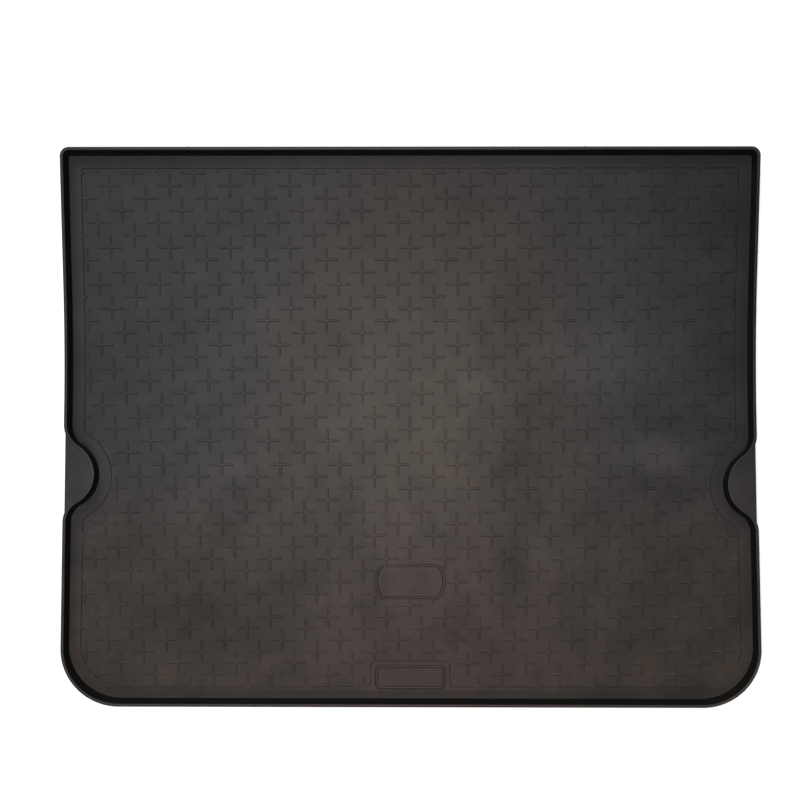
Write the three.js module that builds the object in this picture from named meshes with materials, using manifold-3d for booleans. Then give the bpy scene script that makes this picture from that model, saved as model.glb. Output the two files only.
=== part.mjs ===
// Boot liner: a one-piece moulded tray that lies on the floor of a car's boot.
// A flat floor with a low wall all round, a rim on top of the wall, a half-round
// notch in each side wall with a flat flap that fills it at rim height, a shallow
// sunk panel patterned with raised crosses, and two bare plates.
// Millimetres. X runs across the car, +Y points to the seats, +Z is up.
// The origin is the middle of the underside. Places in X are measured from the middle of
// the front edge, and the finished solid is then moved to the middle of its box.

import * as THREE from "three";
import { mergeVertices } from "three/addons/utils/BufferGeometryUtils.js";
import Module from "manifold-3d";

const wasm = await Module();
wasm.setup();

// Tray outline, measured at the outer edge of the rim
const TRAY_DEPTH = 826;
const FRONT_WIDTH = 1002.2;
const LEFT_SPLAY_ANGLE = THREE.MathUtils.degToRad(2.5);
const RIGHT_SPLAY_ANGLE = THREE.MathUtils.degToRad(2.95);
const SPLAY_FROM_FRONT = 288;
const SPLAY_BEND_RADIUS = 4200;
const FRONT_CORNER_RADIUS = 13;
const REAR_CORNER_RADIUS = 85;

// Floor, wall and rim
const FLOOR_THICKNESS = 3;
const LIP_HEIGHT = 22;
const WALL_THICKNESS = 2.8;
const RIM_WIDTH = 4.8;
const RIM_HEIGHT = 4;
const RIM_CHAMFER = 0.8;
const SIDE_WALL_LEAN = 1.5;
const FRONT_WALL_LEAN = 5.2;
const UNDERSIDE_CHAMFER = 1;
const WALL_FOOT_RADIUS = 4;

// Notches in the side walls: place measured at the rim, depth and radius at the wall's foot
const NOTCH_FILLET = 33;
const NOTCH_RAKE = 4.2;
const LEFT_NOTCH = { fromFront: 472.6, depth: 41, radius: 51.7 };
const RIGHT_NOTCH = { fromFront: 486.9, depth: 39.2, radius: 53.1 };

// Flaps that fill the notches
const FLAP_THICKNESS = 2;
const FLAP_DROP = 1;
const FLAP_INSET = 3;

// Sunk panel
const PANEL_SINK = 1;
const PANEL_MARGIN = 18;
const PANEL_NOTCH_MARGIN = 18.4;
const PANEL_NOTCH_BACK = 2;
const PANEL_NOTCH_FILLET = 12;
const PANEL_FRONT_CORNER = 5;

// Crosses: each cross stands one arm to the side and two arms up from the next
const CROSS_ARM_X = 17.5;
const CROSS_ARM_Y = 17.8;
const CROSS_WAIST = 2.4;
const CROSS_RISE = 0.96;
const CROSS_ROOT = 0.3;
const CROSS_START = { x: -16.5, fromFront: 284.2 };
const CROSS_REACH = 9;

// Bare plate within the panel, with bowed ends and a raised frame
const PLATE_X = 1.3;
const PLATE_FROM_REAR = 186.5;
const PLATE = { width: 106, height: 52, endRadius: 40 };
const PLATE_FRAME_SIDES = 3.6;
const PLATE_FRAME_ENDS = 4.5;
const PLATE_FIELD_RISE = 0.5;

// Bare plate at the rear, on an island that joins the rear margin
const REAR_PLATE = { x: 1.8, fromRear: 20, width: 107, height: 38, cornerRadius: 5 };
const REAR_PLATE_GAP = 6.2;
const REAR_PLATE_FRAME = 4;
const REAR_PLATE_SINK = 0.5;
const ISLAND_CORNER = 9;

// Facets of the rounded corners, sides of a cross's base, and the overshoot of a cutting body
const STEPS = { corner: 5, bend: 4, fillet: 7, nose: 12, rear: 12 };
const CROSS_SIDES = 8;
const OVERSHOOT = 1;
const WELD_DISTANCE = 1e-4;

// Sizes that follow from the ones above
const TOP_Z = FLOOR_THICKNESS + LIP_HEIGHT;
const PANEL_Z = FLOOR_THICKNESS - PANEL_SINK;
const FRONT_Y = TRAY_DEPTH / 2;
const REAR_Y = -TRAY_DEPTH / 2;
const SIDE_X = FRONT_WIDTH / 2;
const FOOT_INSET = RIM_WIDTH + SIDE_WALL_LEAN;
const LEAN_EXTRA = FRONT_WALL_LEAN - SIDE_WALL_LEAN;
const PLATE_Y = REAR_Y + PLATE_FROM_REAR;
const PLATE_FIELD = {
  width: PLATE.width - 2 * PLATE_FRAME_ENDS,
  height: PLATE.height - 2 * PLATE_FRAME_SIDES,
  endRadius: PLATE.endRadius - PLATE_FRAME_SIDES,
};
const REAR_PLATE_TOP_Y = REAR_Y + REAR_PLATE.fromRear + REAR_PLATE.height;

// Point on the splayed side line, u along it towards the rear, v inwards from it
function onSplay({ start, angle }, u, v) {
  const along = new THREE.Vector2(Math.sin(angle), -Math.cos(angle));
  const inwards = new THREE.Vector2(-Math.cos(angle), -Math.sin(angle));
  return start.clone().addScaledVector(along, u).addScaledVector(inwards, v);
}

// Three corners that give a notch of two fillets and a round nose when rounded
function notchCorners(line, fromFront, nose, fillet, depth) {
  const turn = Math.acos((fillet + nose - depth) / (nose + fillet));
  const reach = (nose + fillet) * Math.sin(turn) - fillet * Math.tan(turn / 2);
  const peak = depth - nose + nose / Math.cos(turn);
  const middle = (line.start.y - (FRONT_Y - fromFront)) / Math.cos(line.angle);
  return [
    { point: onSplay(line, middle - reach, 0), radius: fillet, steps: STEPS.fillet },
    { point: onSplay(line, middle, peak), radius: nose, steps: STEPS.nose, joined: true },
    { point: onSplay(line, middle + reach, 0), radius: fillet, steps: STEPS.fillet },
  ];
}

// Corners of the right-hand side from front to rear, on a line inset from the rim's edge
function sideCorners(angle, notch, ring) {
  const start = new THREE.Vector2(SIDE_X - ring.side, FRONT_Y - SPLAY_FROM_FRONT);
  const line = { start, angle };
  const rearRun = (start.y - (REAR_Y + ring.rear)) / Math.cos(angle);
  const corners = [
    {
      point: new THREE.Vector2(start.x, FRONT_Y - ring.front),
      radius: ring.frontCorner,
      steps: STEPS.corner,
    },
    { point: start, radius: SPLAY_BEND_RADIUS, steps: STEPS.bend },
  ];
  if (ring.notched) {
    const nose = notch.radius + ring.side - FOOT_INSET + ring.noseExtra;
    const depth = notch.depth + ring.noseExtra;
    const fromFront = notch.fromFront + ring.notchBack;
    corners.push(...notchCorners(line, fromFront, nose, ring.notchFillet, depth));
  }
  corners.push({ point: onSplay(line, rearRun, 0), radius: ring.rearCorner, steps: STEPS.rear });
  return corners;
}

// Arc that rounds one corner, without the end points that a joined arc shares
function cornerArc({ point, radius, steps, joined }, before, after) {
  const way = point.clone().sub(before).normalize();
  const wayOut = after.clone().sub(point).normalize();
  const turn = Math.atan2(way.cross(wayOut), way.dot(wayOut));
  const arcStart = point.clone().addScaledVector(way, -radius * Math.tan(Math.abs(turn) / 2));
  const toCentre = new THREE.Vector2(-way.y, way.x).multiplyScalar(Math.sign(turn) * radius);
  const centre = arcStart.clone().add(toCentre);
  const from = Math.atan2(-toCentre.y, -toCentre.x);
  const arc = new THREE.ArcCurve(centre.x, centre.y, radius, from, from + turn, turn < 0);
  const points = arc.getPoints(steps);
  return joined ? points.slice(1, -1) : points;
}

// Closed outline with every corner rounded by an arc
function roundedOutline(corners) {
  return corners.flatMap((corner, i) => {
    const before = corners[(i + corners.length - 1) % corners.length].point;
    const after = corners[(i + 1) % corners.length].point;
    return cornerArc(corner, before, after);
  });
}

// Outline of the whole tray at one inset, counter-clockwise from above
function trayOutline(ring) {
  const right = sideCorners(RIGHT_SPLAY_ANGLE, RIGHT_NOTCH, ring).reverse();
  const left = sideCorners(LEFT_SPLAY_ANGLE, LEFT_NOTCH, ring);
  left.forEach((corner) => (corner.point.x *= -1));
  return roundedOutline([...right, ...left]);
}

// Insets of an outline that runs level round the tray
function evenRing(inset, notched = true) {
  return {
    side: inset,
    front: inset,
    rear: inset,
    frontCorner: FRONT_CORNER_RADIUS - inset,
    rearCorner: REAR_CORNER_RADIUS - inset,
    notchFillet: NOTCH_FILLET + FOOT_INSET - inset,
    notchBack: 0,
    noseExtra: 0,
    notched,
  };
}

// Insets along the inner foot of the wall, moved outwards by the given distance
function footRing(outwards) {
  const ring = evenRing(FOOT_INSET - outwards);
  ring.front += LEAN_EXTRA;
  ring.frontCorner = WALL_FOOT_RADIUS + outwards;
  ring.notchBack = NOTCH_RAKE;
  return ring;
}

// Insets of the sunk panel
function panelRing() {
  const ring = footRing(-PANEL_MARGIN);
  ring.frontCorner = PANEL_FRONT_CORNER;
  ring.notchBack += PANEL_NOTCH_BACK;
  ring.noseExtra = PANEL_NOTCH_MARGIN - PANEL_MARGIN;
  ring.notchFillet = PANEL_NOTCH_FILLET;
  return ring;
}

// Solid of a closed geometry, with the corners that faces share made one
function solid(geometry) {
  geometry.deleteAttribute("normal");
  geometry.deleteAttribute("uv");
  const merged = mergeVertices(geometry, WELD_DISTANCE);
  const mesh = new wasm.Mesh({
    numProp: 3,
    vertProperties: Float32Array.from(merged.attributes.position.array),
    triVerts: Uint32Array.from(merged.index.array),
  });
  return new wasm.Manifold(mesh);
}

// Closed skin through level outlines with as many points each
function loft(levels) {
  const count = levels[0].outline.length;
  const position = levels.flatMap(({ outline, z }) => outline.flatMap((p) => [p.x, p.y, z]));
  const index = [];
  for (let level = 0; level + 1 < levels.length; level++) {
    for (let i = 0; i < count; i++) {
      const a = level * count + i;
      const b = level * count + ((i + 1) % count);
      index.push(a, b, b + count, a, b + count, a + count);
    }
  }
  const top = (levels.length - 1) * count;
  const cap = (level) => THREE.ShapeUtils.triangulateShape(levels.at(level).outline, []);
  cap(0).forEach(([a, b, c]) => index.push(c, b, a));
  cap(-1).forEach(([a, b, c]) => index.push(top + a, top + b, top + c));
  const geometry = new THREE.BufferGeometry();
  geometry.setAttribute("position", new THREE.Float32BufferAttribute(position, 3));
  geometry.setIndex(index);
  return solid(geometry);
}

// Upright body on a closed outline
function extrude(outline, bottomZ, topZ) {
  const options = { depth: topZ - bottomZ, bevelEnabled: false };
  const geometry = new THREE.ExtrudeGeometry(new THREE.Shape(outline), options);
  return solid(geometry.translate(0, 0, bottomZ));
}

// Full outer body of the tray, from the chamfered underside to the top of the rim
function outerBody() {
  const rimFootZ = TOP_Z - RIM_HEIGHT;
  const underRim = evenRing(RIM_WIDTH - WALL_THICKNESS);
  underRim.front += LEAN_EXTRA * (RIM_HEIGHT / LIP_HEIGHT);
  underRim.notchBack = NOTCH_RAKE * (RIM_HEIGHT / LIP_HEIGHT);
  return loft([
    { outline: trayOutline(footRing(WALL_THICKNESS - UNDERSIDE_CHAMFER)), z: 0 },
    { outline: trayOutline(footRing(WALL_THICKNESS)), z: UNDERSIDE_CHAMFER },
    { outline: trayOutline(underRim), z: rimFootZ - RIM_CHAMFER },
    { outline: trayOutline(evenRing(0)), z: rimFootZ },
    { outline: trayOutline(evenRing(0)), z: TOP_Z - RIM_CHAMFER },
    { outline: trayOutline(evenRing(RIM_CHAMFER)), z: TOP_Z },
  ]);
}

// Hollow of the tray, above the floor's margin
function innerHollow() {
  const lower = footRing(0);
  const upper = evenRing(RIM_WIDTH);
  const overshoot = evenRing(RIM_WIDTH - SIDE_WALL_LEAN * (OVERSHOOT / LIP_HEIGHT));
  return loft([
    { outline: trayOutline(lower), z: FLOOR_THICKNESS },
    { outline: trayOutline(upper), z: TOP_Z },
    { outline: trayOutline(overshoot), z: TOP_Z + OVERSHOOT },
  ]);
}

// Flaps: a level slab that ends short of the rim's line, less all that lies within the rim
function flaps() {
  const topZ = TOP_Z - FLAP_DROP;
  const slab = extrude(trayOutline(evenRing(FLAP_INSET, false)), topZ - FLAP_THICKNESS, topZ);
  const within = trayOutline(evenRing(RIM_WIDTH / 2));
  return slab.subtract(extrude(within, topZ - FLAP_THICKNESS - OVERSHOOT, topZ + OVERSHOOT));
}

// Plate outline with straight long sides and bowed ends
function bowedPlateOutline({ width, height, endRadius }) {
  const swing = Math.asin(height / 2 / endRadius);
  const centreX = width / 2 - endRadius;
  const right = new THREE.ArcCurve(PLATE_X + centreX, PLATE_Y, endRadius, -swing, swing);
  const left = new THREE.ArcCurve(PLATE_X - centreX, PLATE_Y, endRadius, Math.PI - swing, Math.PI + swing);
  return [...right.getPoints(STEPS.nose), ...left.getPoints(STEPS.nose)];
}

// Rectangle with four equal rounded corners
function roundedRectangle(centreX, topY, width, height, radius) {
  const left = centreX - width / 2;
  const right = centreX + width / 2;
  const bottom = topY - height;
  const corners = [[left, bottom], [right, bottom], [right, topY], [left, topY]];
  const steps = STEPS.corner;
  return roundedOutline(corners.map(([x, y]) => ({ point: new THREE.Vector2(x, y), radius, steps })));
}

// Raised part of the panel under the middle plate: frame and, a little lower, its field
function middlePlate() {
  const frame = extrude(bowedPlateOutline(PLATE), PANEL_Z - CROSS_ROOT, FLOOR_THICKNESS);
  const field = bowedPlateOutline(PLATE_FIELD);
  return frame.subtract(extrude(field, PANEL_Z + PLATE_FIELD_RISE, FLOOR_THICKNESS + OVERSHOOT));
}

// Outline of the island of margin that carries the rear plate
function islandOutline() {
  const width = REAR_PLATE.width + 2 * REAR_PLATE_GAP;
  const topY = REAR_PLATE_TOP_Y + REAR_PLATE_GAP;
  const height = topY - REAR_Y - FOOT_INSET;
  return roundedRectangle(REAR_PLATE.x, topY, width, height, ISLAND_CORNER);
}

// Sunk field of the rear plate
function rearPlateField() {
  const { x, width, height, cornerRadius } = REAR_PLATE;
  const topY = REAR_PLATE_TOP_Y - REAR_PLATE_FRAME;
  const border = 2 * REAR_PLATE_FRAME;
  const outline = roundedRectangle(x, topY, width - border, height - border, cornerRadius);
  return extrude(outline, FLOOR_THICKNESS - REAR_PLATE_SINK, FLOOR_THICKNESS + OVERSHOOT);
}

// One cross as a low ridge with four points, rising out of the panel
function crossSolid(x, y) {
  const height = CROSS_RISE + CROSS_ROOT;
  const grow = height / CROSS_RISE;
  const geometry = new THREE.ConeGeometry(1, height, CROSS_SIDES, 1).rotateX(Math.PI / 2);
  const position = geometry.attributes.position;
  for (let i = 0; i < position.count; i++) {
    const reach = Math.hypot(position.getX(i), position.getY(i));
    const turn = Math.atan2(position.getY(i), position.getX(i));
    const waist = Math.round(turn / ((2 * Math.PI) / CROSS_SIDES)) % 2 !== 0;
    const armX = waist ? CROSS_WAIST : CROSS_ARM_X;
    const armY = waist ? CROSS_WAIST : CROSS_ARM_Y;
    position.setX(i, reach * grow * armX * Math.cos(turn));
    position.setY(i, reach * grow * armY * Math.sin(turn));
  }
  geometry.translate(x, y, PANEL_Z + (CROSS_RISE - CROSS_ROOT) / 2);
  return solid(geometry);
}

// Centres of the crosses that show within the panel
function crossCentres(panelPoints) {
  const reach = Math.ceil(Math.hypot(FRONT_WIDTH, TRAY_DEPTH) / CROSS_ARM_X / 2);
  const centres = [];
  for (let m = -reach; m <= reach; m++) {
    for (let n = -reach; n <= reach; n++) {
      const x = CROSS_START.x + (2 * m + n) * CROSS_ARM_X;
      const y = FRONT_Y - CROSS_START.fromFront + (m - 2 * n) * CROSS_ARM_Y;
      if (insideOutline(x, y, panelPoints)) centres.push([x, y]);
    }
  }
  return centres;
}

// Whether a point lies within a closed outline, counted by the edges to its right
function insideOutline(x, y, points) {
  let inside = false;
  points.forEach((p, i) => {
    const q = points[(i + 1) % points.length];
    const crosses = p.y > y !== q.y > y;
    if (crosses && x < ((q.x - p.x) * (y - p.y)) / (q.y - p.y) + p.x) inside = !inside;
  });
  return inside;
}

// All crosses, cut off at the wall and both plates; the margin buries what leaves the panel
function crosses() {
  const ring = panelRing();
  ring.side -= CROSS_REACH;
  ring.front -= CROSS_REACH;
  ring.rear -= CROSS_REACH;
  const ridges = crossCentres(trayOutline(ring)).map(([x, y]) => crossSolid(x, y));
  return wasm.Manifold.union(ridges)
    .intersect(extrude(trayOutline(footRing(0)), 0, TOP_Z))
    .subtract(extrude(bowedPlateOutline(PLATE), 0, TOP_Z))
    .subtract(extrude(islandOutline(), 0, TOP_Z));
}

function linerSolid() {
  const panel = extrude(trayOutline(panelRing()), PANEL_Z, FLOOR_THICKNESS + OVERSHOOT);
  return outerBody()
    .add(flaps())
    .subtract(innerHollow())
    .subtract(panel)
    .add(middlePlate())
    .add(extrude(islandOutline(), PANEL_Z - CROSS_ROOT, FLOOR_THICKNESS))
    .subtract(rearPlateField())
    .add(crosses());
}

const rubber = new THREE.MeshStandardMaterial({ color: 0x2c2a28, roughness: 0.6, metalness: 0 });

// Mesh of a finished solid
function meshOf(name, body, material) {
  const { vertProperties, triVerts } = body.getMesh();
  const geometry = new THREE.BufferGeometry();
  geometry.setAttribute("position", new THREE.BufferAttribute(vertProperties, 3));
  geometry.setIndex(new THREE.BufferAttribute(triVerts, 1));
  geometry.computeVertexNormals();
  const mesh = new THREE.Mesh(geometry, material);
  mesh.name = name;
  return mesh;
}

// Body moved so that the middle of its box across the car lies at the origin
function centred(body) {
  const { min, max } = body.boundingBox();
  return body.translate([-(min[0] + max[0]) / 2, 0, 0]);
}

const bootLiner = new THREE.Group();
bootLiner.add(meshOf("liner", centred(linerSolid()), rubber));

export default bootLiner;
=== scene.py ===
"""Looks of a one-piece moulded boot liner, as a Blender add-on layout that runs as a script.

The tray's section is carried round its outline, the crosses are ribs on a slanted lattice, and
both stand for the solid named liner. All sizes are in metres, in the solid's own frame.
"""

import math

import bmesh
import bpy
import numpy as np
from bpy.props import FloatProperty, FloatVectorProperty, PointerProperty
from mathutils import Matrix, Vector
from mathutils.geometry import tessellate_polygon


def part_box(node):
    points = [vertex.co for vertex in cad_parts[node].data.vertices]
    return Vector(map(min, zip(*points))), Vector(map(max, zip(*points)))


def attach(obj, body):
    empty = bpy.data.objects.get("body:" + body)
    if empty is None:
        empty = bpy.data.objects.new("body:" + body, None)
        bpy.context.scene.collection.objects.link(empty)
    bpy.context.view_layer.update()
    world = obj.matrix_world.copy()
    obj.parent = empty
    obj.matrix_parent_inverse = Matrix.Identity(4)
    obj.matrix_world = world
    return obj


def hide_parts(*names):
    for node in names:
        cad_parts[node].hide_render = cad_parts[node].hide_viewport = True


bl_info = {
    "name": "Boot liner",
    "version": (1, 0, 0),
    "blender": (4, 5, 0),
    "location": "3D View > Sidebar > Boot liner",
    "description": "Builds a moulded rubber boot liner and a plain studio round it",
    "category": "Add Mesh",
}

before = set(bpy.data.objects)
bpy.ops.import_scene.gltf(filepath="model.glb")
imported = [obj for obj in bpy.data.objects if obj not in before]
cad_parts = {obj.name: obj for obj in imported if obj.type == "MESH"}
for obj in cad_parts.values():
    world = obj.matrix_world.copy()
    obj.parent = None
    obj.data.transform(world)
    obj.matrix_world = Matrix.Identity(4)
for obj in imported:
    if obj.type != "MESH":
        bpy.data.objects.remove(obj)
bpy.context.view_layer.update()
LOW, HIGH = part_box("liner")

MM = 0.001
BODY = "root"
NODE = "liner"
RUBBER = "satin_rubber"
DUST_AND_LIGHT = "dust_and_light"

# Shares of dust and painted light: none is 0, bare rubber as dark as full painted shade, that of the
# open floor is 1, and the rim has a little more as a painted highlight over its dust. Walls, the
# wall's foot, grooves, steps and the ribs' feet get less as painted shade
WALL_SHADE = 0.02
FOOT_SHADE = 0.7
GROOVE_SHADE = 0.15
STEP_SHADE = 0.2
RIB_FOOT_SHADE = 0.82
RIM_DUST_AND_HIGHLIGHT = 1.1
FLAP_DUST = 0.92

# Shares of dust and light on the points of the rim's outer rounding, upwards, and of its inner one,
# downwards: painted shade where they turn down into the walls, and a painted highlight over dust on
# the top
RIM_OUTER_DUST_AND_LIGHT = np.array([0, 0, 0.2, 0.5, 0.8, RIM_DUST_AND_HIGHLIGHT, RIM_DUST_AND_HIGHLIGHT])
RIM_INNER_DUST_AND_LIGHT = np.array([RIM_DUST_AND_HIGHLIGHT, RIM_DUST_AND_HIGHLIGHT, RIM_DUST_AND_HIGHLIGHT, 0.8, 0.4, WALL_SHADE])

# Outline of the tray, measured at the outer edge of the rim
FRONT_Y = HIGH.y
REAR_Y = LOW.y
FRONT_MIDDLE_X = -1.75 * MM
SPLAY_FROM_FRONT = 288 * MM
SPLAY_BEND_RADIUS = 4200 * MM
FRONT_CORNER_RADIUS = 13 * MM
REAR_CORNER_RADIUS = 85 * MM
NOTCH_FILLET = 33 * MM
NOTCH_RAKE = 4.2 * MM
LEFT = {"sign": -1, "splay": math.radians(2.5),
        "from_front": 472.6 * MM, "depth": 41 * MM, "radius": 51.7 * MM}
RIGHT = {"sign": 1, "splay": math.radians(2.95),
         "from_front": 486.9 * MM, "depth": 39.2 * MM, "radius": 53.1 * MM}

# Section of the wall and rim
FLOOR_Z = 3 * MM
TOP_Z = HIGH.z
UNDERSIDE_ROUND = 1.1 * MM
RIM_HEIGHT = 4 * MM
RIM_UNDER_ROUND = 0.8 * MM
RIM_UNDER_FLARE = 0.1 * MM
RIM_OUTER_ROUND = 1.5 * MM
RIM_INNER_ROUND = 1.1 * MM
WALL_FOOT_ROUND = 1.2 * MM

# Flaps that fill the notches
FLAP_THICKNESS = 2 * MM
FLAP_DROP = 0.3 * MM
FLAP_INSET = 3 * MM
FLAP_ROUND = 0.5 * MM
FLAP_TAIL = 2 * MM

# Nibs of mould flash on the rim's outer edge
NIB_SIZE = 1 * MM
NIB_Z = (TOP_Z - 2.4 * MM, TOP_Z - 1.2 * MM)
LEFT_NIBS = (49 * MM, 373 * MM)
RIGHT_NIBS = (40 * MM, 149 * MM, 232 * MM, 591 * MM, 618 * MM, 674 * MM)
FRONT_NIBS = (-317 * MM, -38 * MM, 120 * MM, 147 * MM, 251 * MM)

# Sunk panel, its plates and the island that carries the rear one
PANEL_NOTCH_MARGIN_EXTRA = 0.4 * MM
PANEL_NOTCH_BACK = 2 * MM
PANEL_NOTCH_FILLET = 12 * MM
PANEL_FRONT_CORNER = 5 * MM
PLATE_X = 1.3 * MM
PLATE_FROM_REAR = 186.5 * MM
PLATE = {"width": 106 * MM, "height": 52 * MM, "end": 40 * MM}
PLATE_FRAME_SIDES = 2.95 * MM
PLATE_FRAME_ENDS = 3.9 * MM
PLATE_FIELD_RISE = 0.5 * MM
PLATE_STEP_RUN = 0.8 * MM
REAR_PLATE = {"x": 1.8 * MM, "from_rear": 20 * MM, "width": 107 * MM, "height": 38 * MM}
REAR_PLATE_CORNER = 9 * MM
REAR_PLATE_GAP = 6.2 * MM
REAR_PLATE_BAND = 2.4 * MM
REAR_PLATE_SINK = 0.5 * MM
GROOVE_WIDTH = 1.3 * MM
GROOVE_DEPTH = 0.7 * MM
ISLAND_CORNER = 9 * MM

# Crosses: place of the first one, how far a cut arm runs into what cuts it, how far outside the
# panel a tip still counts as in it, and how far top and foot lie below the margin and the panel
CROSS_START = {"x": -16.5 * MM, "from_front": 284.2 * MM}
RIB_BURY = 2 * MM
RIB_TOUCH = 1.2 * MM
RIB_TOP_GAP = 0.04 * MM
RIB_FOOT_GAP = 0.1 * MM

# A rib's softened edge, as a drop below its top and a share of its slope's run, and its shortest
# arm past the corner, as a share of half its width
RIB_EDGE_DROP = 0.14 * MM
RIB_EDGE_RUN = 0.72
RIB_SHORTEST_ARM = 1.2

# Warm patches of the dust, as middle, half size and amount, and middle and half size of its rosy
# patch near the rear plate
WARM_PATCHES = (((0.02, 0.08), (0.36, 0.54), 1.0),
                ((0.0, -0.40), (1.60, 0.52), 1.0))
ROSY_PATCH = ((0.02, -0.32), (0.42, 0.30))

# Lighter and darker patches, which drift with the clouds: middle, half size, amount. Some are smears
# of dust, others painted light: a painted sheen over the middle and painted shade towards the right
# side and the seat side
SMEARS_AND_PAINTED_LIGHT = (((-0.01, 0.04), (0.15, 0.26), 0.18),
          ((-0.135, 0.00), (0.06, 0.17), 0.14),
          ((-0.07, 0.10), (0.06, 0.12), 0.08),
          ((0.01, 0.17), (0.05, 0.12), -0.12),
          ((0.07, -0.06), (0.07, 0.26), 0.15),
          ((0.11, 0.075), (0.08, 0.05), 0.25),
          ((0.165, -0.02), (0.06, 0.32), -0.14),
          ((0.16, 0.20), (0.06, 0.11), -0.18),
          ((0.15, -0.22), (0.04, 0.12), -0.2),
          ((0.00, -0.15), (0.08, 0.09), 0.18),
          ((0.20, -0.18), (0.06, 0.05), 0.2),
          ((0.29, 0.11), (0.18, 0.08), 0.35),
          ((0.38, -0.04), (0.10, 0.045), 0.45),
          ((0.37, 0.01), (0.12, 0.03), -0.2),
          ((0.365, -0.085), (0.07, 0.04), -0.2),
          ((0.43, -0.13), (0.05, 0.04), 0.2),
          ((0.39, -0.18), (0.08, 0.05), -0.1),
          ((0.35, -0.32), (0.08, 0.05), -0.2),
          ((0.46, 0.36), (0.24, 0.15), -0.25),
          ((0.51, 0.14), (0.16, 0.32), -0.35),
          ((0.00, 0.34), (0.50, 0.14), -0.12),
          ((-0.47, 0.10), (0.10, 0.14), -0.15),
          ((-0.17, -0.18), (0.12, 0.07), -0.12),
          ((-0.38, -0.20), (0.07, 0.06), -0.12),
          ((-0.30, -0.28), (0.20, 0.12), -0.3))

# Small marks that stay in place: lighter lips of the notches, a painted highlight over dust, darker
# spots at the flaps' corners, and specks
MARKS = (((-0.463, -0.062), (0.030, 0.060), 0.2),
         ((0.474, -0.075), (0.016, 0.060), 0.25),
         ((-0.500, -0.028), (0.010, 0.005), -0.15),
         ((-0.502, -0.096), (0.010, 0.005), -0.15),
         ((0.499, -0.045), (0.010, 0.005), -0.15),
         ((0.497, -0.112), (0.010, 0.005), -0.12),
         ((-0.381, -0.335), (0.003, 0.003), 0.6),
         ((-0.306, 0.278), (0.003, 0.003), 0.5))

# Strip of painted light along the seat-side rim and margin, which lifts the front wall's shadow on
# the margin and brightens the front rim as a painted highlight
FRONT_PAINTED_LIGHT = ((0.0, 0.402), (1.5, 0.035), 0.25)

# Noises of the rubber, each as scale, detail and roughness
DRIFT_NOISE = (5.0, 3.0, 0.5)
CLOUD_NOISE = (11.0, 4.0, 0.6)
MARK_NOISE = (45.0, 4.0, 0.65)
STREAK_NOISE = (9.0, 5.0, 0.66)
GRAIN_NOISE = (1400.0, 2.0, 0.5)

# How far patches and smears drift, and how strongly clouds and small marks change the dust and
# its warmth. A gain is what is added towards the rear, between the two places along Y
DRIFT = 0.07
CLOUD_STRENGTH = 0.45
MARK_STRENGTH = 0.16
MARK_GAIN = 0.14
WARMTH_STRENGTH = 0.4
REAR_FADE_Y = (0.15, -0.15)

# Wiping streaks: slant, squeeze across, strength and gain, and the patch where they run upright
STREAK_SLANT = math.radians(35)
STREAK_SQUEEZE = 0.6
STREAK_STRENGTH = 0.65
STREAK_GAIN = 0.6
STREAK_MIDDLE = ((0.06, 0.0), (0.40, 0.70))

# Height and strength of the moulded grain, and how much rougher the rubber is where its share of dust
# and light is low, as on the faces painted in shade, and where a smear is dark
GRAIN_HEIGHT = 0.2 * MM
GRAIN_STRENGTH = 0.12
BARE_AND_SHADE_ROUGHNESS = 0.25
SMEAR_ROUGHNESS = 0.12

# Camera, lights and floor of the studio
CAMERA_PLACE = Vector((-0.0056, 0.2010, 1.6376))
CAMERA_TARGET = Vector((-0.0155, 0.0474, 0.0030))
CAMERA_LENS = 50.0
KEY_PLACE = Vector((-0.20, -0.14, 2.5))
KEY_SIZE = 1.3
SIDE_PLACE = Vector((-1.3, 4.0, 3.0))
SIDE_SIZE = 1.8
FLOOR_HALF = 6.0
FLOOR_GAP = 0.1 * MM
FLOOR_ROUGHNESS = 0.9
FLOOR_GLOW = 0.62

# Facets of each kind of rounded corner and of a rib's round end, the angle from which an edge
# stays sharp, and the least values that an offset and a crossing of two lines divide by
STEPS = {"corner": 10, "bend": 16, "fillet": 14, "nose": 26, "rear": 28}
RIB_END_ANGLES = np.radians([-90, -45, 0, 45, 90])
SHARP_ANGLE = math.radians(50)
LEAST_COSINE = 0.5
LEAST_CROSSING = 1e-12


class LinerShape(bpy.types.PropertyGroup):
    front_width: FloatProperty(
        name="Front width", description="Width over the rim at the seats",
        default=1.0022, unit="LENGTH")
    wall_thickness: FloatProperty(
        name="Wall thickness", description="Thickness of the wall below the rim",
        default=2.8 * MM, unit="LENGTH")
    rim_width: FloatProperty(
        name="Rim width", description="Width of the rim seen from above",
        default=4.8 * MM, unit="LENGTH")
    side_lean: FloatProperty(
        name="Side wall lean", description="How far the side and rear walls lean outwards",
        default=1.5 * MM, unit="LENGTH")
    front_lean: FloatProperty(
        name="Front wall lean", description="How far the seat-side wall leans outwards",
        default=5.2 * MM, unit="LENGTH")
    panel_margin: FloatProperty(
        name="Panel margin", description="Plain margin between the wall's foot and the panel",
        default=18 * MM, unit="LENGTH")
    panel_sink: FloatProperty(
        name="Panel sink", description="Depth of the panel below the margin",
        default=1 * MM, unit="LENGTH")
    step_run: FloatProperty(
        name="Step run", description="Width of the slope at the panel's edge and round the ribs",
        default=1 * MM, unit="LENGTH")


class CrossShape(bpy.types.PropertyGroup):
    arm_x: FloatProperty(
        name="Arm across", description="Half length of a cross and lattice unit across the car",
        default=17.5 * MM, unit="LENGTH")
    arm_y: FloatProperty(
        name="Arm along", description="Half length of a cross and lattice unit along the car",
        default=17.8 * MM, unit="LENGTH")
    foot_width: FloatProperty(
        name="Rib width", description="Width of a rib at its foot",
        default=3.8 * MM, unit="LENGTH")
    corner_cut: FloatProperty(
        name="Inner corner", description="Size of the rounding between two arms",
        default=0.9 * MM, unit="LENGTH")


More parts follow.
